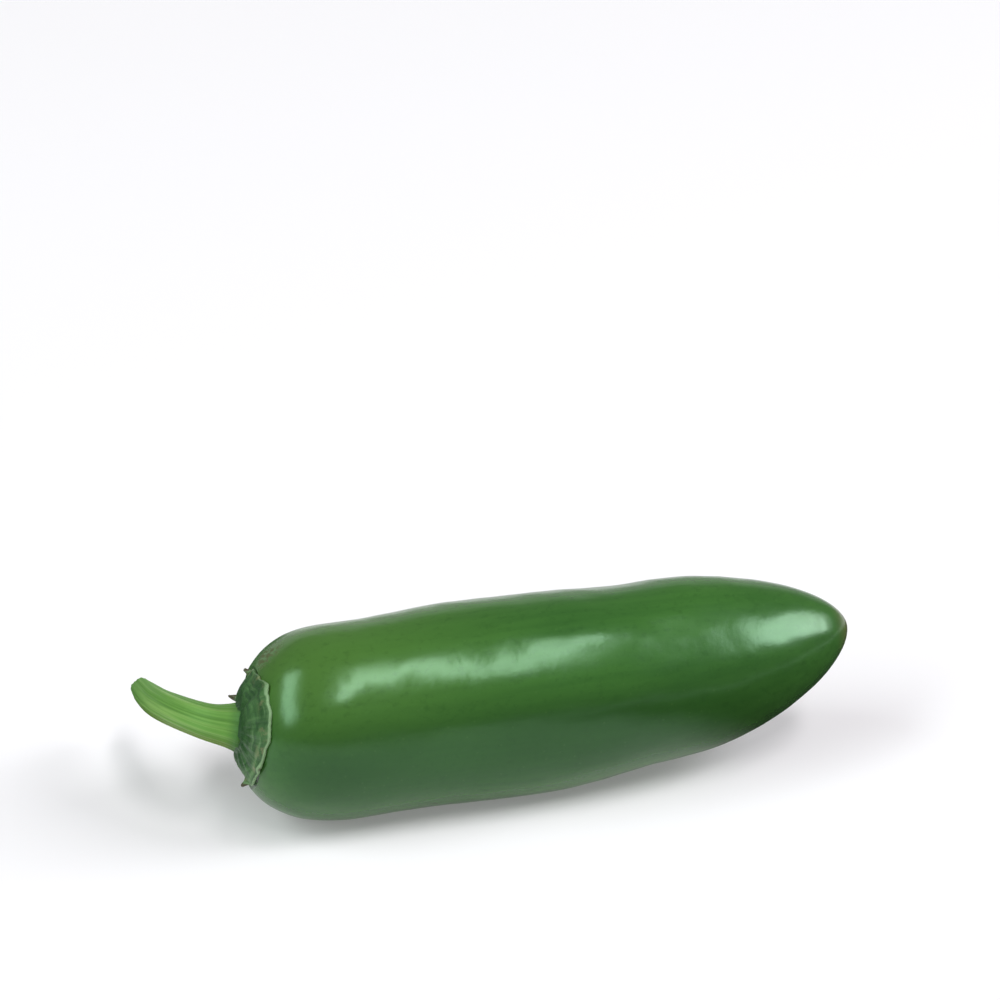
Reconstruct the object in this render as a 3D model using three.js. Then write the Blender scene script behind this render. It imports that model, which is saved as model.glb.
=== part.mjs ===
// A fresh green chilli pepper of the jalapeno kind, lying on its side as picked.
// It has three pieces: the pod, the calyx that caps the pod's stem end, and the stem on the calyx.
// Millimetres, +Z up. The pod runs along X, with its stem end towards -X and its tip towards +X.

import * as THREE from "three";

// Pod
const podLength = 85.4; // from where the shoulder would close, without the seat, to the tip
const podRadius = 13.4;
const shoulder = { length: 15.3, power: 2.5 }; // the rounded stem end, a superellipse in profile
const seat = { radius: 8.2, depth: 1.1, flatness: 8 }; // the shallow hollow that holds the calyx
const taper = { from: 47, roundness: 0.58 }; // the closing towards the tip
const waist = { at: 53.4, width: 8, depth: 0.065 };
const neckDip = { at: 17, width: 10.5, depth: 0.039 };
const lobes = { count: 3, turn: 1.9, depth: 0.018 };
const flattening = { count: 2, turn: 0.5, depth: 0.012 };
const axisHeight = 12.75; // a little under the radius, which leaves the small flat spot it lies on

// The pod's centreline rises at both ends, most at the tip, and bows to +Y behind the shoulder
const neckBend = { length: 11.6, side: 0.4, rise: 0.8 };
const tipBend = { from: 31, side: 0.4, rise: 3.7 };
const bow = { at: 28, width: 8, side: 0.7 };

// Calyx
const fitGap = 0.3; // left between pieces that grow on each other
const calyxRadius = 7.2;
const calyxHeight = 2.7; // from its underside to the foot of the stem
const calyxFlare = 1.7; // how hollow its slope is between the stem's foot and the rim
const rimThickness = 0.6;
const rib = { height: 0.3, width: 14 }; // one rib runs out to each tooth, its width in degrees
const tooth = { from: 0.85, halfWidth: 9 }; // begins at this share of the radius, degrees to each side
const teeth = [
  { at: 3, long: 0.6, curl: 1.9 },
  { at: 66, long: 0.5, curl: 1.8 },
  { at: 128, long: 0.5, curl: 0.4 },
  { at: 188, long: 0.4, curl: 0.3 },
  { at: 245, long: 0.4, curl: 1.8 },
  { at: 310, long: 0.7, curl: 0.8 },
];

// Stem
const stemRadius = { foot: 3, waist: 2.2, end: 1.1 };
const stemTaper = 2.2; // above 1, so that most of the thinning is near the free end
const footFlare = 0.12; // share of the stem's length over which its foot narrows
const endRounding = 0.7; // the cut end's face against the stem's radius just before it
const stemRidges = { count: 5, depth: 0.06, twist: 0.6 };
const stemPath = [ // from the middle of its foot
  [0, 0, 0],
  [-2.8, 1.1, 0.3],
  [-5.2, 3.6, 0],
  [-7, 8, -0.9],
  [-8.1, 13.4, -2.1],
  [-8.8, 19.6, -3.4],
  [-9.2, 23, -4],
];

const podSegments = 48;
const podRings = 40;
const seatRings = 4;
const calyxSegments = 100;
const calyxTopRows = 7; // between the stem's foot and the rim
const calyxUnderRows = 4;
const stemSegments = 20;
const stemRings = 18;

const clamp01 = (value) => Math.min(1, Math.max(0, value));
const bump = (distance, width) => Math.exp(-((distance / width) ** 2));

// Radius of the pod at a distance s along its centreline
function podRadiusAt(s) {
  const share = 1 - clamp01(s / shoulder.length);
  const opening = (1 - share ** shoulder.power) ** (1 / shoulder.power);
  const closing = clamp01((s - taper.from) / (podLength - taper.from));
  const hollows = waist.depth * bump(s - waist.at, waist.width)
    + neckDip.depth * bump(s - neckDip.at, neckDip.width);
  return podRadius * opening * (1 - closing ** 2) ** taper.roundness * (1 - hollows);
}

// Distance along the centreline at which the rounded shoulder reaches radius r
function shoulderAt(r) {
  const share = (1 - (r / podRadius) ** shoulder.power) ** (1 / shoulder.power);
  return shoulder.length * (1 - share);
}

// The same for the seat inside the shoulder
function seatAt(r) {
  return shoulderAt(seat.radius) + seat.depth * (1 - (r / seat.radius) ** seat.flatness);
}

// The centreline at s, with the directions along, beside and above it
function podFrame(s) {
  const within = Math.max(0, s);
  const neck = clamp01(1 - within / neckBend.length);
  const tip = clamp01((within - tipBend.from) / (podLength - tipBend.from));
  const bowed = bow.side * bump(within - bow.at, bow.width);
  const neckSlope = (-2 * neck) / neckBend.length;
  const tipSlope = (2 * tip) / (podLength - tipBend.from);
  const bowSlope = (-2 * bowed * (within - bow.at)) / bow.width ** 2;
  const along = new THREE.Vector3(
    1,
    neckBend.side * neckSlope + tipBend.side * tipSlope + bowSlope,
    neckBend.rise * neckSlope + tipBend.rise * tipSlope,
  ).normalize();
  const centre = new THREE.Vector3(
    within,
    neckBend.side * neck ** 2 + tipBend.side * tip ** 2 + bowed,
    axisHeight + neckBend.rise * neck ** 2 + tipBend.rise * tip ** 2,
  ).addScaledVector(along, Math.min(0, s));
  const beside = new THREE.Vector3(0, 0, 1).cross(along).normalize();
  const above = along.clone().cross(beside);
  return { centre, along, beside, above };
}

// A point at radius r and an angle round the pod's centreline at s
function aroundPod(s, r, angle) {
  const { centre, beside, above } = podFrame(s);
  return centre
    .addScaledVector(beside, r * Math.cos(angle))
    .addScaledVector(above, r * Math.sin(angle));
}

// Turns a profile into a closed surface, then moves each vertex to place(profile index, angle)
function turned(profile, segments, place) {
  const geometry = new THREE.LatheGeometry(profile, segments);
  const position = geometry.getAttribute("position");
  for (let i = 0; i < position.count; i++) {
    const step = Math.floor(i / profile.length) % segments;
    const p = place(i % profile.length, (2 * Math.PI * step) / segments);
    position.setXYZ(i, p.x, p.y, p.z);
  }
  geometry.computeVertexNormals();
  return geometry;
}

function podGeometry() {
  const start = shoulderAt(seat.radius);
  const profile = [];
  for (let i = 0; i < seatRings; i++) {
    const r = (seat.radius * i) / seatRings;
    profile.push(new THREE.Vector2(r, seatAt(r)));
  }
  for (let i = 0; i < podRings; i++) {
    const s = start + ((podLength - start) * (1 - Math.cos((Math.PI * i) / podRings))) / 2;
    profile.push(new THREE.Vector2(podRadiusAt(s), s));
  }
  profile.push(new THREE.Vector2(0, podLength));
  return turned(profile, podSegments, (i, angle) => {
    const { x: r, y: s } = profile[i];
    let section = 1;
    for (const wave of [lobes, flattening]) {
      section += wave.depth * clamp01(s / shoulder.length) * Math.cos(wave.count * (angle - wave.turn));
    }
    const p = aroundPod(s, r * section, angle);
    p.z = Math.max(0, p.z);
    return p;
  });
}

// Degrees from a tooth's middle to an angle, between -180 and 180
function degreesFrom({ at }, angle) {
  return THREE.MathUtils.euclideanModulo(THREE.MathUtils.radToDeg(angle) - at + 180, 360) - 180;
}

const calyxTop = seatAt(0) - fitGap - calyxHeight;

function calyxGeometry() {
  const rows = [{ r: 0, s: calyxTop, slope: 0 }];
  const rimTop = seatAt(calyxRadius) - fitGap - rimThickness;
  for (let i = 0; i < calyxTopRows; i++) {
    const slope = i / (calyxTopRows - 1);
    const r = stemRadius.foot + (calyxRadius - stemRadius.foot) * slope;
    const s = calyxTop + (rimTop - calyxTop) * (1 - (1 - slope) ** calyxFlare);
    rows.push({ r, s, slope });
  }
  for (let i = calyxUnderRows; i >= 0; i--) {
    const r = (calyxRadius * i) / calyxUnderRows;
    rows.push({ r, s: seatAt(r) - fitGap, slope: 0 });
  }
  const profile = rows.map(({ r, s }) => new THREE.Vector2(r, s));
  return turned(profile, calyxSegments, (i, angle) => {
    const { r, s, slope } = rows[i];
    const outer = clamp01((r / calyxRadius - tooth.from) / (1 - tooth.from)) ** 2;
    let reach = 0;
    let lift = 0;
    for (const each of teeth) {
      const away = degreesFrom(each, angle);
      const share = outer * clamp01(1 - Math.abs(away) / tooth.halfWidth);
      reach += each.long * share;
      lift += each.curl * share + rib.height * bump(away, rib.width) * Math.sin(Math.PI * slope);
    }
    return aroundPod(s - lift, r + reach, angle);
  });
}

function stemGeometry() {
  const { centre: foot, along } = podFrame(calyxTop - fitGap);
  const path = new THREE.CatmullRomCurve3(
    stemPath.map(([x, y, z]) => foot.clone().add(new THREE.Vector3(x, y, z))),
  );
  const frames = path.computeFrenetFrames(stemRings, false);
  const rows = [{ ring: 0, r: 0 }];
  for (let ring = 0; ring <= stemRings; ring++) {
    const share = ring / stemRings;
    const flare = (stemRadius.foot - stemRadius.waist) * Math.exp(-share / footFlare);
    const thinning = (stemRadius.waist - stemRadius.end) * share ** stemTaper;
    const rounding = ring === stemRings ? endRounding : 1;
    rows.push({ ring, r: (stemRadius.waist - thinning + flare) * rounding });
  }
  rows.push({ ring: stemRings, r: 0 });
  const profile = rows.map(({ ring, r }) => new THREE.Vector2(r, ring));
  return turned(profile, stemSegments, (i, angle) => {
    const { ring, r } = rows[i];
    const share = ring / stemRings;
    const beside = frames.normals[ring].clone();
    const above = frames.binormals[ring].clone();
    if (ring === 0) { // the foot lies flat on the calyx
      beside.addScaledVector(along, -beside.dot(along)).normalize();
      above.crossVectors(beside, along);
    }
    const wave = Math.cos(stemRidges.count * (angle + stemRidges.twist * share));
    const radius = r * (1 + stemRidges.depth * wave);
    return path.getPointAt(share)
      .addScaledVector(beside, radius * Math.cos(angle))
      .addScaledVector(above, radius * Math.sin(angle));
  });
}

function piece(name, geometry, color, roughness) {
  const mesh = new THREE.Mesh(geometry, new THREE.MeshStandardMaterial({ color, roughness, metalness: 0 }));
  mesh.name = name;
  return mesh;
}

const laid = new THREE.Group();
laid.add(piece("pod", podGeometry(), 0x3f6e31, 0.28));
laid.add(piece("calyx", calyxGeometry(), 0x4a7a3c, 0.5));
laid.add(piece("stem", stemGeometry(), 0x6f9a4f, 0.45));

// The origin is under the middle of the space that the pepper covers, on the surface it lies on
const middle = new THREE.Box3().setFromObject(laid).getCenter(new THREE.Vector3());
laid.position.set(-middle.x, -middle.y, 0);

const pepper = new THREE.Group();
pepper.add(laid);

export default pepper;
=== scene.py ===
# A fresh green chilli pepper of the jalapeno kind, lying on its side on a pale floor.
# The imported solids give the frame; a finer pod, calyx and stem stand in their places.
import math

import bmesh
import bpy
from mathutils import Matrix, Vector, geometry, noise


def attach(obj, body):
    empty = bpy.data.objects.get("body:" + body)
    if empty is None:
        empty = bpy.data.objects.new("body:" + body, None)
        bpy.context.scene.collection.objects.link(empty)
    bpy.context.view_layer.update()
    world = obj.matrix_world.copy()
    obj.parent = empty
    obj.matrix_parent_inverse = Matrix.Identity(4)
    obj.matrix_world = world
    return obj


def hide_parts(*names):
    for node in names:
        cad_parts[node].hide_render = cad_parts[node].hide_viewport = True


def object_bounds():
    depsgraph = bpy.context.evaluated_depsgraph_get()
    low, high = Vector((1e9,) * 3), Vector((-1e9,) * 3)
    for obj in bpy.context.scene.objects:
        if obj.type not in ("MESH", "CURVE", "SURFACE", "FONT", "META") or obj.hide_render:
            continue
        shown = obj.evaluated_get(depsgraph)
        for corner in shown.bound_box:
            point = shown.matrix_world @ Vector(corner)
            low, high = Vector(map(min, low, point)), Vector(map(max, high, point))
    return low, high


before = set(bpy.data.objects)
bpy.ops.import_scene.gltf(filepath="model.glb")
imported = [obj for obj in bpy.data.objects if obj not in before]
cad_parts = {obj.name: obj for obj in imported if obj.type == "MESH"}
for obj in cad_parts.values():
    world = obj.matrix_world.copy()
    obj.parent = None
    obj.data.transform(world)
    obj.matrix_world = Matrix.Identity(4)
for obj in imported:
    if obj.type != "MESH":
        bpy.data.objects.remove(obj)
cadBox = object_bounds()
scene = bpy.context.scene
mm = 0.001  # sizes below are in millimetres, Blender works in metres
fitGap = 0.3  # between the solids
weldDistance = 0.0005
print("frame loaded with", ", ".join(sorted(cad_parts)))


# What every material below is written with
class Wire:
    # one output of a node, which can be added, multiplied and so on like a number
    def __init__(self, paint, socket):
        self.paint = paint
        self.socket = socket

    def calc(self, operation, first, second):
        return self.paint.node("ShaderNodeMath", {"operation": operation}, {0: first, 1: second})

    def __add__(self, other):
        return self.calc("ADD", self, other)

    def __radd__(self, other):
        return self.calc("ADD", other, self)

    def __sub__(self, other):
        return self.calc("SUBTRACT", self, other)

    def __rsub__(self, other):
        return self.calc("SUBTRACT", other, self)

    def __mul__(self, other):
        return self.calc("MULTIPLY", self, other)

    def __rmul__(self, other):
        return self.calc("MULTIPLY", other, self)

    def rise(self, low, high):  # 0 at low, 1 at high, eased in between
        return self.paint.node("ShaderNodeMapRange", {"interpolation_type": "SMOOTHSTEP"},
                               {0: self, 1: low, 2: high})


class Paint:
    # a material and the nodes it is made of
    def __init__(self, name):
        self.material = bpy.data.materials.new(name)
        self.material.use_nodes = True
        self.tree = self.material.node_tree
        self.shader = self.tree.nodes["Principled BSDF"]

    def node(self, kind, settings=None, inputs=None, out=0):
        made = self.tree.nodes.new(kind)
        for key, value in (settings or {}).items():
            setattr(made, key, value)
        for key, value in (inputs or {}).items():
            if isinstance(value, Wire):
                self.tree.links.new(value.socket, made.inputs[key])
            else:
                made.inputs[key].default_value = value
        return Wire(self, made.outputs[out])

    def place(self, scale=(1, 1, 1), shift=(0, 0, 0), attribute=None):
        # where a pattern is read: millimetres on the piece, or the piece's own attribute
        if attribute:
            spot = self.node("ShaderNodeAttribute", {"attribute_name": attribute}, out="Vector")
            size = scale
        else:
            spot = self.node("ShaderNodeTexCoord", out="Object")
            size = [each / mm for each in scale]
        return self.node("ShaderNodeMapping", None, {"Vector": spot, "Location": shift, "Scale": size})

    def split(self, vector, axis):
        return self.node("ShaderNodeSeparateXYZ", None, {0: vector}, out=axis)

    def clouds(self, vector, detail=3.0, roughness=0.5):
        return self.node("ShaderNodeTexNoise", None,
                         {"Vector": vector, "Scale": 1.0, "Detail": detail, "Roughness": roughness})

    def dots(self, vector):  # the distance to the nearest of many scattered points
        return self.node("ShaderNodeTexVoronoi", {"feature": "F1"},
                         {"Vector": vector, "Scale": 1.0, "Randomness": 1.0})

    def mix(self, first, second, factor):
        # for colours a Mix node is read by its sockets 6 and 7 and gives its output 2
        return self.node("ShaderNodeMix", {"data_type": "RGBA"}, {0: factor, 6: first, 7: second}, out=2)

    def near(self, vector, point, reach):  # 1 around a point, 0 beyond its reach
        away = self.node("ShaderNodeVectorMath", {"operation": "DISTANCE"},
                         {0: vector, 1: point}, out="Value")
        return 1 - away.rise(0.3 * reach, reach)

    def bump(self, height, distance, strength):
        return self.node("ShaderNodeBump", None,
                         {"Height": height, "Distance": distance * mm, "Strength": strength})

    def settle(self, **values):  # what is the same all over the surface
        for name, value in values.items():
            self.shader.inputs[name.replace("_", " ")].default_value = value

    def feed(self, **wires):  # what changes over it
        for name, wire in wires.items():
            self.tree.links.new(wire.socket, self.shader.inputs[name.replace("_", " ")])


def clamp01(value):
    return min(1.0, max(0.0, value))


def eased(value):  # 0 below 0, 1 above 1, smooth in between
    value = clamp01(value)
    return value * value * (3 - 2 * value)


def hump(distance, width):  # 1 in the middle, nearly 0 from twice its width
    return math.exp(-((distance / width) ** 2))


def degreesFrom(at, angle):  # from a direction to an angle, between -180 and 180
    return (math.degrees(angle) - at + 180) % 360 - 180


def extrudeLoop(bm, loop, matrix):
    # joins a new ring to a loop of edges and moves it; returns its vertices and its edges
    grown = bmesh.ops.extrude_edge_only(bm, edges=loop)["geom"]
    verts = [each for each in grown if isinstance(each, bmesh.types.BMVert)]
    bmesh.ops.transform(bm, matrix=matrix, verts=verts)
    edges = [each for each in grown if isinstance(each, bmesh.types.BMEdge)]
    return verts, [edge for edge in edges if all(vert in verts for vert in edge.verts)]


def meshObject(name, bm, material):
    bmesh.ops.scale(bm, vec=(mm, mm, mm), verts=bm.verts)
    mesh = bpy.data.meshes.new(name)
    bm.to_mesh(mesh)
    bm.free()
    mesh.materials.append(material)
    made = bpy.data.objects.new(name, mesh)
    scene.collection.objects.link(made)
    return made


def addPiece(name, bm, material, node):
    piece = meshObject(name, bm, material)
    piece.data.shade_smooth()
    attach(piece, "root")
    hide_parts(node)
    print(name, "has", len(piece.data.polygons), "faces")
    return piece


# The pod's form is the solid's, with a finer waist, one flatter place and an uneven skin.
# On it, s runs along the centreline from the stem end and r is the distance from that line.
podShape = {
    "length": 85.4, "radius": 13.4,
    "shoulderLength": 15.3, "shoulderPower": 2.5,
    "seatRadius": 8.2, "seatDepth": 1.1, "seatFlatness": 8,
    # the seat's edge; the rings close beside it hold its rounding under 0.1
    "lipRounding": 0.7, "lipSegments": 4, "lipTolerance": 0.01,
    "taperFrom": 47, "taperRoundness": 0.58,
    "waistAt": 53.4, "waistWidth": 8, "waistDepth": 0.065,
    "waistFacing": 61,  # degrees; the waist is only at this side and the opposite one
    "neckAt": 17, "neckWidth": 10.5, "neckDepth": 0.039,
    "lobes": (3, 1.9, 0.018), "flattening": (2, 0.5, 0.012),  # count, turn, depth
    "axisHeight": 12.75,
    "neckLength": 11.6, "neckSide": 0.4, "neckRise": 0.8,
    "tipFrom": 31, "tipSide": 0.4, "tipRise": 3.7,
    "bowAt": 28, "bowWidth": 8, "bowSide": 0.7,
    "flatFacing": 130, "flatWidth": 32, "flatDepth": 1.0,  # the flatter place, above the near side
    "flatFrom": 43.4, "flatFull": 61.4, "flatUntil": 64, "flatEnd": 98,
    "ripple": 0.07, "rippleSize": 13,  # uneven growth of the skin
    "dimples": 0.06, "dimpleSize": 3.2, "dimpleShift": (7, 3, 5),
    "fadeWithin": 6,  # closer to the centreline than this, the flat place and unevenness fade out
    "contactSoftness": 0.1,  # how gently the skin bends into the flat spot that it lies on
    "seatRings": 12, "rings": 170, "segments": 144,
}

# the solid pod's outermost point is its tip, and that fixes where the stem end is
tipPoint = max((vertex.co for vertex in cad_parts["pod"].data.vertices), key=lambda co: co.x)
podStart = Vector((tipPoint.x / mm - podShape["length"], tipPoint.y / mm - podShape["tipSide"], 0))


def podRadiusAt(s, angle=None):
    p = podShape
    share = 1 - clamp01(s / p["shoulderLength"])
    opening = (1 - share ** p["shoulderPower"]) ** (1 / p["shoulderPower"])
    closing = clamp01((s - p["taperFrom"]) / (p["length"] - p["taperFrom"]))
    waist = p["waistDepth"] * hump(s - p["waistAt"], p["waistWidth"])
    if angle is not None:
        waist *= (1 + math.cos(2 * (angle - math.radians(p["waistFacing"])))) / 2
    hollows = waist + p["neckDepth"] * hump(s - p["neckAt"], p["neckWidth"])
    return p["radius"] * opening * (1 - closing ** 2) ** p["taperRoundness"] * (1 - hollows)


def shoulderAt(r):
    p = podShape
    share = (1 - (r / p["radius"]) ** p["shoulderPower"]) ** (1 / p["shoulderPower"])
    return p["shoulderLength"] * (1 - share)


def seatAt(r):
    p = podShape
    if r > p["seatRadius"]:
        return shoulderAt(r)
    return shoulderAt(p["seatRadius"]) + p["seatDepth"] * (1 - (r / p["seatRadius"]) ** p["seatFlatness"])


def podFrame(s):  # the centreline at s, with the directions along, beside and above it
    p = podShape
    within = max(0.0, s)
    neck = clamp01(1 - within / p["neckLength"])
    tip = clamp01((within - p["tipFrom"]) / (p["length"] - p["tipFrom"]))
    bowed = p["bowSide"] * hump(within - p["bowAt"], p["bowWidth"])
    neckSlope = -2 * neck / p["neckLength"]
    tipSlope = 2 * tip / (p["length"] - p["tipFrom"])
    bowSlope = -2 * bowed * (within - p["bowAt"]) / p["bowWidth"] ** 2
    along = Vector((1, p["neckSide"] * neckSlope + p["tipSide"] * tipSlope + bowSlope,
                    p["neckRise"] * neckSlope + p["tipRise"] * tipSlope)).normalized()
    centre = Vector((within, p["neckSide"] * neck ** 2 + p["tipSide"] * tip ** 2 + bowed,
                     p["axisHeight"] + p["neckRise"] * neck ** 2 + p["tipRise"] * tip ** 2))
    centre += along * min(0.0, s) + podStart
    beside = Vector((0, 0, 1)).cross(along).normalized()
    return centre, along, beside, along.cross(beside)


def aroundPod(s, r, angle):
    centre, along, beside, above = podFrame(s)
    return centre + beside * (r * math.cos(angle)) + above * (r * math.sin(angle))


def podSkinAt(s, r, angle):  # where a point of the turned profile ends up
    p = podShape
    section = 1
    for count, turn, depth in (p["lobes"], p["flattening"]):
        section += depth * clamp01(s / p["shoulderLength"]) * math.cos(count * (angle - turn))
    allRound = podRadiusAt(s)
    if allRound > 0:
        section *= podRadiusAt(s, angle) / allRound
    fade = clamp01(r / p["fadeWithin"])
    flat = eased((s - p["flatFrom"]) / (p["flatFull"] - p["flatFrom"]))
    flat *= 1 - eased((s - p["flatUntil"]) / (p["flatEnd"] - p["flatUntil"]))
    flat *= p["flatDepth"] * hump(degreesFrom(p["flatFacing"], angle), p["flatWidth"])
    spot = aroundPod(s, r, angle)
    uneven = (p["ripple"] * noise.noise(spot / p["rippleSize"])
              + p["dimples"] * noise.noise(spot / p["dimpleSize"] + Vector(p["dimpleShift"])))
    spot = aroundPod(s, r * section + (uneven - flat) * fade, angle)
    spot.z = (spot.z + math.hypot(spot.z, p["contactSoftness"])) / 2  # nothing goes below the floor
    return spot


# Colours and gloss of the skin. A grain is how often a pattern turns in a millimetre along X, Y
# and Z. Beside, above, along, from and until are pairs of millimetres from the origin: where
# something sets in and where it is full.
podLook = {
    "deep": (0.030, 0.104, 0.018, 1), "leaf": (0.045, 0.142, 0.024, 1),
    "paintedTopLight": (0.080, 0.182, 0.032, 1), "mottleAndPaintedShade": (0.014, 0.054, 0.008, 1),
    "brown": (0.135, 0.125, 0.045, 1), "speck": (0.10, 0.21, 0.06, 1), "cork": (0.090, 0.085, 0.028, 1),
    "patchGrain": (0.035, 0.09, 0.09), "streakGrain": (0.05, 0.9, 0.9), "mottleGrain": (0.9, 1.2, 1.2),
    "speckGrain": (0.7, 0.7, 0.7), "speckEdge": (0.05, 0.16),  # the edge in distances between specks
    # where the painted shade along the near side lies, beside the pod and in height
    "paintedShadeBeside": (-19, -12), "paintedShadeFrom": (2, 8), "paintedShadeUntil": (15, 21),
    "paintedLightAlong": (-36, 10), "paintedLightAbove": (13, 24), "brownAlong": (44.5, 48.2),
    "scratchAt": (-32.9, -3.7, 22.9), "scratchReach": 3.0,
    "scratchGrain": (2.6, 1.6, 0.4), "scratchShift": (2, 5, 1),
    "scarAt": (47.9, -4.8, 16.45), "scarReach": 0.9,
    "filmGrain": (0.25, 0.8, 0.8), "glossiest": 0.18, "filmRoughness": 0.09, "markRoughness": 0.3,
    "peelGrain": (0.9, 0.7, 0.7), "peelDepth": 0.04, "peelStrength": 0.5,
    "glossTint": (0.60, 1.0, 0.69, 1), "indexOfRefraction": 1.56,
}


def podPaint():
    look = podLook
    paint = Paint("podSkin")
    paint.settle(Specular_Tint=look["glossTint"], IOR=look["indexOfRefraction"])
    spot = paint.place()
    along, across, height = (paint.split(spot, axis) for axis in "XYZ")
    patches = paint.clouds(paint.place(look["patchGrain"])).rise(0.35, 0.65)
    streaks = paint.clouds(paint.place(look["streakGrain"]), 4.0).rise(0.3, 0.7)
    colour = paint.mix(look["deep"], look["leaf"], patches * 0.6 + streaks * 0.4)
    # painted shade: a darker band along the near side, at mid height; the same dark colour also gives the
    # random mottle below
    nearSide = 1 - across.rise(*look["paintedShadeBeside"])
    nearSide *= height.rise(*look["paintedShadeFrom"]) * (1 - height.rise(*look["paintedShadeUntil"]))
    colour = paint.mix(colour, look["mottleAndPaintedShade"], nearSide * (0.55 + patches * 0.3))
    # painted light: the top of the pod, towards its stem end, is lighter and yellower
    paintedLightMask = (1 - along.rise(*look["paintedLightAlong"])) * height.rise(*look["paintedLightAbove"])
    colour = paint.mix(colour, look["paintedTopLight"], paintedLightMask * 0.7)
    mottle = paint.clouds(paint.place(look["mottleGrain"]), 5.0, 0.65)
    colour = paint.mix(colour, look["mottleAndPaintedShade"], (1 - mottle.rise(0.3, 0.5)) * 0.25)
    specks = 1 - paint.dots(paint.place(look["speckGrain"])).rise(*look["speckEdge"])
    colour = paint.mix(colour, look["speck"], specks * 0.1)
    hairs = paint.clouds(paint.place(look["scratchGrain"], look["scratchShift"])).rise(0.48, 0.54)
    scratch = paint.near(spot, look["scratchAt"], look["scratchReach"]) * hairs
    colour = paint.mix(colour, look["cork"], scratch * 0.8)
    colour = paint.mix(colour, look["brown"], along.rise(*look["brownAlong"]) * 0.75)
    scar = paint.near(spot, look["scarAt"], look["scarReach"])
    colour = paint.mix(colour, look["cork"], scar * 0.85)
    film = paint.clouds(paint.place(look["filmGrain"]), 5.0, 0.6)
    rough = look["glossiest"] + film * look["filmRoughness"] + (scratch + scar) * look["markRoughness"]
    peel = paint.clouds(paint.place(look["peelGrain"])) + mottle * 0.35 + scratch * 0.4
    paint.feed(Base_Color=colour, Roughness=rough,
               Normal=paint.bump(peel, look["peelDepth"], look["peelStrength"]))
    return paint.material


def podProfile():
    p = podShape
    start = shoulderAt(p["seatRadius"])
    radii = [p["seatRadius"] * i / p["seatRings"] for i in range(p["seatRings"])]
    profile = [(seatAt(r), r) for r in radii]
    for i in range(p["rings"]):
        s = start + (p["length"] - start) * (1 - math.cos(math.pi * i / p["rings"])) / 2
        profile.append((s, podRadiusAt(s)))
    return profile + [(p["length"], 0)]


def makePod():
    p = podShape
    bm = bmesh.new()
    verts = [bm.verts.new((s, r, 0)) for s, r in podProfile()]
    edges = [bm.edges.new(pair) for pair in zip(verts, verts[1:])]
    bmesh.ops.spin(bm, geom=verts + edges, cent=(0, 0, 0), axis=(1, 0, 0), angle=2 * math.pi,
                   steps=p["segments"], use_merge=True)
    bmesh.ops.remove_doubles(bm, verts=bm.verts, dist=weldDistance)
    lip = [edge for edge in bm.edges
           if all(abs(vert.co.yz.length - p["seatRadius"]) < p["lipTolerance"] for vert in edge.verts)]
    bmesh.ops.bevel(bm, geom=lip, offset=p["lipRounding"], segments=p["lipSegments"], profile=0.5,
                    affect="EDGES", material=-1, clamp_overlap=True)
    for vert in bm.verts:
        s, y, z = vert.co
        vert.co = podSkinAt(s, math.hypot(y, z), math.atan2(z, y))
    bmesh.ops.recalc_face_normals(bm, faces=bm.faces)
    addPiece("wholePod", bm, podPaint(), "pod")


# The calyx starts as a flat disc of rings, which is then laid over the pod's seat and shoulder
calyxShape = {
    "height": 2.7, "gap": 0.08, "thickness": 0.5,
    "fullness": 2.3,  # above 1, the cap stays flat for longer before it bends down to its rim
    "stemFoot": 3.0,
    "collar": 0.55, "collarWidth": 0.16, "collarUneven": 0.5, "collarOften": 2,  # round the stem's foot
    "rim": [  # degrees and radius; it hangs over the near shoulder
        (0, 7.2), (60, 7.3), (90, 8.1), (104, 8.7), (118, 9.6), (160, 9.6), (172, 9.2),
        (186, 8.8), (215, 8.2), (250, 7.4), (300, 7.2), (360, 7.2),
    ],
    "nicks": [(0.22, 4), (0.154, 15)],  # how deep, and how often round the rim
    "folds": [(0.38, 6, 1.5), (0.2, 2, 11)],  # how deep, how often round the stem, how often outwards
    "teeth": [  # where, how long, how far it curls off the pod, half its width in degrees
        (3, 0.8, 2.4, 9), (64, 0.1, 1.5, 10), (121, 0.25, 0.15, 8),
        (190, 0.3, 0.3, 8), (247, 0.35, 1.5, 9), (310, 0.6, 0.9, 9),
    ],
    "toothFrom": 0.75,  # teeth begin at this share of the way from the stem to the rim
    "toothMark": 0.08,  # what a millimetre of tooth adds to that share, for the paint
    "rings": (1.6, 3.0, 3.2, 3.4, 3.7, 4.1, 4.5, 4.9, 5.3, 5.7, 6.1, 6.4, 6.7, 6.9, 7.05, 7.2),
    "segments": 300,
}
calyxTop = seatAt(0) - fitGap - calyxShape["height"]

# The ray and ring grains are read round and out from the stem, the others as on the pod
calyxLook = {
    "deep": (0.018, 0.064, 0.017, 1), "leaf": (0.058, 0.155, 0.042, 1), "light": (0.105, 0.225, 0.072, 1),
    "vein": (0.15, 0.28, 0.11, 1), "rim": (0.24, 0.38, 0.19, 1), "cork": (0.175, 0.185, 0.085, 1),
    "tooth": (0.085, 0.065, 0.035, 1),
    "patchGrain": (0.45, 0.45, 0.45), "stainGrain": (0.6, 0.6, 0.6), "stainShift": (3, 8, 1),
    "rayGrain": (8, 8, 0.8), "ringGrain": (1.8, 1.8, 10), "ringShift": (4, 1, 0),
    "paintedLightBelow": (3, 11), "rimBeside": (-11, -7),
    "glossTint": (0.75, 1, 0.75, 1), "roughness": 0.36, "patchRoughness": 0.2,
    "veinDepth": 0.3, "veinStrength": 0.8,
}


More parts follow.
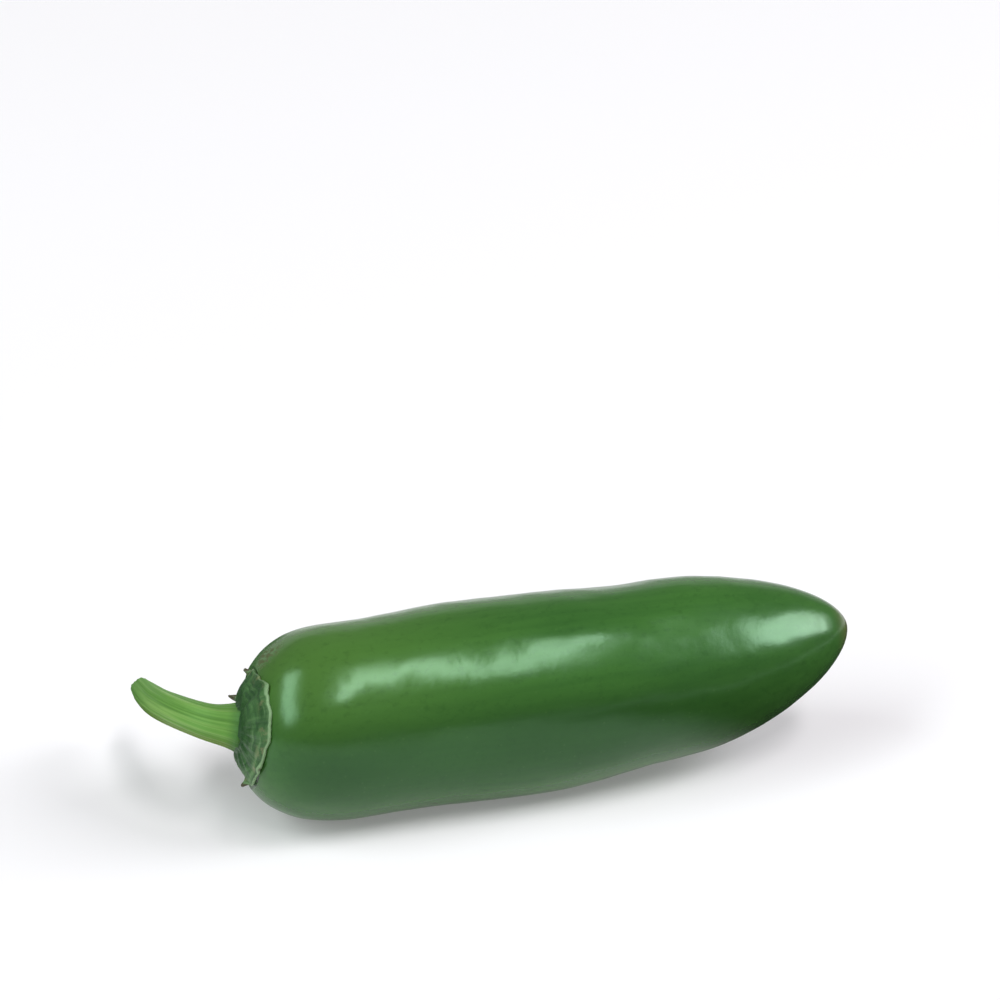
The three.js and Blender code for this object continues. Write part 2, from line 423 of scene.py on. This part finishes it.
def calyxPaint():
    look = calyxLook
    paint = Paint("calyxLeaf")
    paint.settle(Specular_Tint=look["glossTint"])
    spot = paint.place()
    across, height = paint.split(spot, "Y"), paint.split(spot, "Z")
    share = paint.split(paint.place(attribute="fromStem"), "Z")  # 0 at the stem, 1 at the rim
    patches = paint.clouds(paint.place(look["patchGrain"]), 4.0).rise(0.35, 0.65)
    rays = paint.clouds(paint.place(look["rayGrain"], attribute="fromStem"))
    rings = paint.clouds(paint.place(look["ringGrain"], look["ringShift"], attribute="fromStem"))
    colour = paint.mix(look["deep"], look["leaf"], patches * 0.6 + share * 0.35)
    # painted light: the lower part of the calyx is lighter
    low = 1 - height.rise(*look["paintedLightBelow"])
    colour = paint.mix(colour, look["light"], low * share.rise(0.3, 0.7) * 0.8)
    colour = paint.mix(colour, look["vein"], rays.rise(0.56, 0.74) * share.rise(0.2, 0.5) * 0.35)
    colour = paint.mix(colour, look["vein"], rings.rise(0.54, 0.66) * share.rise(0.45, 0.7) * 0.5)
    colour = paint.mix(colour, look["deep"], (1 - rays.rise(0.3, 0.45)) * 0.5)
    colour = paint.mix(colour, look["deep"], (1 - rings.rise(0.38, 0.5)) * 0.85)
    # painted shade: darker close to the stem, where the calyx meets it
    colour = paint.mix(colour, look["deep"], (1 - share.rise(0.1, 0.55)) * 0.85)
    stains = paint.clouds(paint.place(look["stainGrain"], look["stainShift"]), 5.0, 0.7).rise(0.50, 0.62)
    colour = paint.mix(colour, look["cork"], stains * share.rise(0.7, 0.92) * 0.75)
    nearSide = 1 - across.rise(*look["rimBeside"])
    edge = share.rise(0.955, 0.985) * (1 - share.rise(1.03, 1.06))
    colour = paint.mix(colour, look["rim"], edge * (0.25 + nearSide * 0.65))
    colour = paint.mix(colour, look["tooth"], share.rise(1.02, 1.07) * 0.9)
    paint.feed(Base_Color=colour, Roughness=look["roughness"] + patches * look["patchRoughness"],
               Normal=paint.bump(rays + rings * 0.7, look["veinDepth"], look["veinStrength"]))
    return paint.material


def calyxRimAt(angle):
    turned = math.degrees(angle) % 360
    rim = calyxShape["rim"]
    (low, before), (high, after) = next(pair for pair in zip(rim, rim[1:]) if turned <= pair[1][0])
    radius = before + (after - before) * eased((turned - low) / (high - low))
    ray = Vector((math.cos(angle), math.sin(angle), 0))
    for depth, often in calyxShape["nicks"]:
        radius += depth * noise.noise(ray * often)
    return radius


def calyxSkinAt(r, angle):
    # where a point of the disc ends up, and its ray and share of the way out for the paint
    c = calyxShape
    foot, last = c["stemFoot"], c["rings"][-1]
    ray = Vector((math.cos(angle), math.sin(angle), 0))
    share = clamp01((r - foot) / (last - foot))
    rim = calyxRimAt(angle)
    wide = min(r, foot) + (rim - foot) * share
    s = calyxTop + (seatAt(rim) - c["gap"] - c["thickness"] - calyxTop) * share ** c["fullness"]
    s = min(s, seatAt(wide) - c["gap"] - c["thickness"])
    outer = clamp01((share - c["toothFrom"]) / (1 - c["toothFrom"])) ** 2
    long = curled = 0
    for at, length, curl, half in c["teeth"]:
        tooth = outer * eased(1 - abs(degreesFrom(at, angle)) / half)
        long += length * tooth
        curled += curl * tooth
    s -= curled
    for depth, around, outwards in c["folds"]:
        fold = noise.noise(ray * around + Vector((0, 0, share * outwards)))
        s -= depth * fold * math.sin(math.pi * share)
    collar = c["collar"] * (1 + c["collarUneven"] * noise.noise(ray * c["collarOften"]))
    s -= collar * clamp01(1 - share / c["collarWidth"]) ** 2
    return aroundPod(s, wide + long, angle), (ray.x, ray.y, share + c["toothMark"] * (long + curled))


def makeCalyx():
    c = calyxShape
    bm = bmesh.new()
    fromStem = bm.verts.layers.float_vector.new("fromStem")
    bmesh.ops.create_circle(bm, cap_ends=False, segments=c["segments"], radius=c["rings"][0])
    loop = bm.edges[:]
    for inner, outer in zip(c["rings"], c["rings"][1:]):
        loop = extrudeLoop(bm, loop, Matrix.Diagonal((outer / inner, outer / inner, 1, 1)))[1]
    for vert in bm.verts:
        x, y, z = vert.co
        vert.co, vert[fromStem] = calyxSkinAt(math.hypot(x, y), math.atan2(y, x))
    bm.normal_update()
    if sum(face.normal.x for face in bm.faces) > 0:  # its outside looks towards the stem
        bmesh.ops.reverse_faces(bm, faces=bm.faces)
    piece = addPiece("calyxCap", bm, calyxPaint(), "calyx")
    thick = piece.modifiers.new("thickness", "SOLIDIFY")
    thick.thickness = c["thickness"] * mm
    thick.offset = -1
    smooth = piece.modifiers.new("smooth", "SUBSURF")
    smooth.levels = smooth.render_levels = 1


stemShape = {
    "foot": 3.3, "waist": 2.15, "end": 1.5,  # radii
    "taper": 3.5,  # above 1, so that most of the thinning is near the free end
    "footFlare": 0.1,
    "ridges": (5, 0.05), "fineRidges": (17, 0.02), "ridgeTurn": 1, "twist": 0.6,  # count and depth
    "route": [(0, 0, 0), (-2.8, 1.1, 0.45), (-5.2, 3.6, 0.5), (-7, 8, -0.35),
              (-8.0, 13.3, -1.85), (-8.5, 18.9, -3.3), (-8.55, 21.4, -4.0)],
    "routePull": 1 / 6,  # how strongly a point's neighbours bend the route there
    "cap": [  # rings of the rounded end: how far out and how wide
        (0.35, 0.96), (0.62, 0.87), (0.8, 0.72), (0.87, 0.54), (0.84, 0.34), (0.8, 0.14),
    ],
    "capMark": 0.04,  # what the rounded end adds to the share of the stem's length, for the paint
    "sunk": 0.5,  # how far its foot reaches past the solid's, into the calyx
    "stations": 14,  # rings between two points of the route
    "segments": 96,
}

stemLook = {
    "leaf": (0.140, 0.320, 0.060, 1), "pale": (0.270, 0.465, 0.125, 1), "paintedUndersideShade": (0.128, 0.222, 0.019, 1),
    "deep": (0.050, 0.145, 0.034, 1), "groove": (0.085, 0.210, 0.038, 1), "cut": (0.200, 0.330, 0.110, 1),
    "lineGrain": (3.2, 3.2, 1.2), "fineGrain": (11, 11, 1.6),  # round and along the stem
    "glossTint": (0.6, 1, 0.55, 1), "shine": 0.3, "roughness": 0.38, "fineRoughness": 0.15,
    "lineDepth": 0.2, "lineStrength": 0.7,
}


def stemPaint():
    look = stemLook
    paint = Paint("stemStalk")
    paint.settle(Specular_Tint=look["glossTint"], Specular_IOR_Level=look["shine"])
    share = paint.split(paint.place(attribute="onStem"), "Z")  # 0 at the foot, 1 at the free end
    under = paint.node("ShaderNodeAttribute", {"attribute_name": "underside"}, out="Fac")
    lines = paint.clouds(paint.place(look["lineGrain"], attribute="onStem"), 4.0)
    fine = paint.clouds(paint.place(look["fineGrain"], attribute="onStem"))
    paler = 1 - share.rise(0.45, 1.0) * 0.75
    colour = paint.mix(look["leaf"], look["pale"], lines.rise(0.48, 0.7) * paler * 0.8)
    colour = paint.mix(colour, look["groove"], (1 - fine.rise(0.32, 0.46)) * 0.6)
    colour = paint.mix(colour, look["pale"], fine.rise(0.55, 0.7) * paler * 0.5)
    # painted shade: the stem's underside is darker and more olive
    colour = paint.mix(colour, look["paintedUndersideShade"], under.rise(0.0, 0.7) * 0.85)
    # painted shade: darker at the foot, where the stem meets the calyx
    colour = paint.mix(colour, look["deep"], (1 - share.rise(0.0, 0.075)) * 0.85)
    colour = paint.mix(colour, look["cut"], share.rise(1.012, 1.03) * 0.35)
    paint.feed(Base_Color=colour, Roughness=look["roughness"] + fine * look["fineRoughness"],
               Normal=paint.bump(lines + fine * 0.6, look["lineDepth"], look["lineStrength"]))
    return paint.material


def stemLine():  # points close together along the stem's route
    t = stemShape
    foot, along = podFrame(calyxTop - fitGap)[:2]
    points = [foot + Vector(each) for each in t["route"]]
    points[0] = points[0] + along * t["sunk"]
    before, after = points[:1] + points[:-1], points[1:] + points[-1:]
    pulls = [(there - here) * t["routePull"] for here, there in zip(before, after)]
    line = []
    for i in range(len(points) - 1):
        line += geometry.interpolate_bezier(points[i], points[i] + pulls[i], points[i + 1] - pulls[i + 1],
                                            points[i + 1], t["stations"] + 1)[:-1]
    return line + points[-1:]


def stemPlaces():  # a matrix for each ring, and the ring's share of the stem's length
    t = stemShape
    line = stemLine()
    lengths = [0.0]
    for here, there in zip(line, line[1:]):
        lengths.append(lengths[-1] + (there - here).length)
    directions = [-podFrame(calyxTop)[1]]
    directions += [(after - before).normalized() for before, after in zip(line, line[2:])]
    directions.append((line[-1] - line[-2]).normalized())
    turn = directions[0].to_track_quat("Z", "Y")
    places = []
    for i, point in enumerate(line):
        if i > 0:
            turn = directions[i - 1].rotation_difference(directions[i]) @ turn
        share = lengths[i] / lengths[-1]
        flare = (t["foot"] - t["waist"]) * math.exp(-share / t["footFlare"])
        radius = t["waist"] - (t["waist"] - t["end"]) * share ** t["taper"] + flare
        shaped = Matrix.Rotation(t["twist"] * share, 4, "Z") @ Matrix.Diagonal((radius, radius, 1, 1))
        places.append((Matrix.Translation(point) @ turn.to_matrix().to_4x4() @ shaped, share))
    last, whole = places[-1]
    for push, width in t["cap"]:
        narrowed = Matrix.Translation((0, 0, push)) @ Matrix.Diagonal((width, width, 1, 1))
        places.append((last @ narrowed, whole + t["capMark"] * (1 - width)))
    return places


def makeStem():
    t = stemShape
    places = stemPlaces()
    bm = bmesh.new()
    onStem = bm.verts.layers.float_vector.new("onStem")
    underside = bm.verts.layers.float.new("underside")
    foot = bmesh.ops.create_circle(bm, cap_ends=True, segments=t["segments"], radius=1)["verts"]
    for vert in foot:
        angle = math.atan2(vert.co.y, vert.co.x)
        waves = [depth * math.cos(count * angle + t["ridgeTurn"])
                 for count, depth in (t["ridges"], t["fineRidges"])]
        vert[onStem] = (math.cos(angle), math.sin(angle), 0)
        vert.co *= 1 + sum(waves)
    bmesh.ops.transform(bm, matrix=places[0][0], verts=foot)
    loop = bm.edges[:]
    for (before, _), (after, share) in zip(places, places[1:]):
        ring, loop = extrudeLoop(bm, loop, after @ before.inverted())
        for vert in ring:
            vert[onStem] = (*vert[onStem].xy, share)
            vert[underside] = -(vert.co - after.to_translation()).normalized().z
    bmesh.ops.edgeloop_fill(bm, edges=loop)
    bmesh.ops.recalc_face_normals(bm, faces=bm.faces)
    addPiece("stemStalk", bm, stemPaint(), "stem")


makePod()
makeCalyx()
makeStem()


# Floor and lights; each light has its direction, the way its long side runs, both widths as
# seen from the pepper in degrees, its brightness and its colour
stage = {
    "floorRadius": 4000, "floorSegments": 96,
    "floorColour": (0.75, 0.725, 0.745, 1), "floorLift": (0.20, 0.195, 0.20, 1),
    "roughness": 0.9, "floorShine": 0.1,
    "surroundings": (0.16, 0.155, 0.16, 1),
    "lightDistance": 2400,
    "lights": [
        {"name": "overheadBox", "toward": (0.206, -0.41, 0.89), "longSide": (0.40, 0.90, 0.2),
         "long": 37, "short": 9.5, "brightness": 10.4, "colour": (1, 1, 1)},
        {"name": "rightBox", "toward": (0.815, -0.2, 0.54), "longSide": (0.515, 0.638, -0.573),
         "long": 34, "short": 20, "brightness": 9.6, "colour": (0.97, 1, 1)},
        {"name": "leftBox", "toward": (-0.70, -0.12, 0.68), "longSide": (0.31, 0.81, 0.42),
         "long": 52, "short": 19, "brightness": 5.9, "colour": (0.90, 1, 0.98)},
        {"name": "backPanel", "toward": (0.25, 1, 0.24), "longSide": (1, -0.25, 0),
         "long": 75, "short": 24, "brightness": 0.4, "colour": (1, 1, 1)},
    ],
    "cards": [  # dark cards on the floor, that only the skin's gloss shows; each fades in along X
        {"name": "tipCard", "low": (20, -220), "high": (300, 40), "clearAt": 20, "darkAt": 38,
         "colour": (0.02, 0.03, 0.02, 1)},
        {"name": "stemCard", "low": (-260, 14), "high": (-8, 300), "clearAt": -8, "darkAt": -24,
         "colour": (0.06, 0.10, 0.06, 1)},
    ],
    "cardHeight": 0.4,
}


def makeFloor():
    bm = bmesh.new()
    bmesh.ops.create_circle(bm, cap_ends=True, segments=stage["floorSegments"], radius=stage["floorRadius"])
    paint = Paint("paleFloor")
    paint.settle(Base_Color=stage["floorColour"], Roughness=stage["roughness"],
                 Emission_Color=stage["floorLift"], Emission_Strength=1,
                 Specular_IOR_Level=stage["floorShine"])
    meshObject("floor", bm, paint.material)


def cardPaint(card):  # dark from above, see-through from below
    paint = Paint(card["name"])
    paint.settle(Roughness=stage["roughness"], Emission_Strength=1)
    along = paint.split(paint.place(), "X")
    if card["darkAt"] > card["clearAt"]:
        dark = along.rise(card["clearAt"], card["darkAt"])
    else:
        dark = 1 - along.rise(card["darkAt"], card["clearAt"])
    paint.feed(Base_Color=paint.mix(stage["floorColour"], card["colour"], dark),
               Emission_Color=paint.mix(stage["floorLift"], (0, 0, 0, 1), dark))
    below = paint.node("ShaderNodeNewGeometry", out="Backfacing")
    dull = Wire(paint, paint.shader.outputs["BSDF"])
    clear = paint.node("ShaderNodeBsdfTransparent")
    oneSided = paint.node("ShaderNodeMixShader", None, {0: below, 1: dull, 2: clear})
    paint.tree.links.new(oneSided.socket, paint.tree.nodes["Material Output"].inputs["Surface"])
    return paint.material


def makeCard(card):
    (x0, y0), (x1, y1) = card["low"], card["high"]
    bm = bmesh.new()
    bmesh.ops.create_grid(bm, x_segments=1, y_segments=1, size=0.5)
    bmesh.ops.scale(bm, vec=(x1 - x0, y1 - y0, 1), verts=bm.verts)
    bmesh.ops.translate(bm, vec=((x0 + x1) / 2, (y0 + y1) / 2, stage["cardHeight"]), verts=bm.verts)
    made = meshObject(card["name"], bm, cardPaint(card))
    made.visible_camera = False
    made.visible_shadow = False


def makeLights():
    middle = (cadBox[0] + cadBox[1]) / 2
    distance = stage["lightDistance"] * mm
    for each in stage["lights"]:
        toward = Vector(each["toward"]).normalized()
        side = Vector(each["longSide"])
        side = (side - toward * side.dot(toward)).normalized()
        light = bpy.data.lights.new(each["name"], "AREA")
        light.shape = "RECTANGLE"
        light.size = 2 * distance * math.tan(math.radians(each["long"] / 2))
        light.size_y = 2 * distance * math.tan(math.radians(each["short"] / 2))
        light.energy = each["brightness"] * math.pi * light.size * light.size_y
        light.color = each["colour"]
        lamp = bpy.data.objects.new(each["name"], light)
        turn = Matrix((side, toward.cross(side), toward)).transposed().to_4x4()
        lamp.matrix_world = Matrix.Translation(middle + toward * distance) @ turn
        lamp.visible_camera = False
        scene.collection.objects.link(lamp)
    world = bpy.data.worlds.new("surroundings")
    world.use_nodes = True
    world.node_tree.nodes["Background"].inputs["Color"].default_value = stage["surroundings"]
    scene.world = world


view = {
    "azimuth": -17.5, "elevation": 28, "lens": 110, "sensor": 36, "clipStart": 0.01,
    "millimetresPerPixel": 0.134,  # at the distance of the pod
    "aim": (4.085, -6.076, 13.3), "aimPixel": (545, 690),  # a point and where the picture shows it
    "imageSize": 1000,
}


def makeCamera():
    turned, raised = math.radians(view["azimuth"]), math.radians(view["elevation"])
    back = Vector((math.sin(turned) * math.cos(raised), -math.cos(turned) * math.cos(raised),
                   math.sin(raised)))
    right = Vector((math.cos(turned), math.sin(turned), 0))
    up = back.cross(right)
    size, pixel = view["imageSize"], view["millimetresPerPixel"]
    aim = Vector(view["aim"])
    place = aim + back * (size * view["lens"] / view["sensor"] * pixel)
    toRight = size / 2 - view["aimPixel"][0]
    toTop = view["aimPixel"][1] - size / 2
    target = aim + (right * toRight + up * toTop) * pixel
    lens = bpy.data.cameras.new("camera")
    lens.lens = view["lens"]
    lens.sensor_width = view["sensor"]
    lens.clip_start = view["clipStart"]
    camera = bpy.data.objects.new("camera", lens)
    turn = (target - place).to_track_quat("-Z", "Y").to_matrix().to_4x4()
    camera.matrix_world = Matrix.Translation(place * mm) @ turn
    scene.collection.objects.link(camera)
    scene.camera = camera


makeFloor()
for card in stage["cards"]:
    makeCard(card)
makeLights()
makeCamera()
scene.view_settings.view_transform = "Standard"
print("stage ready")
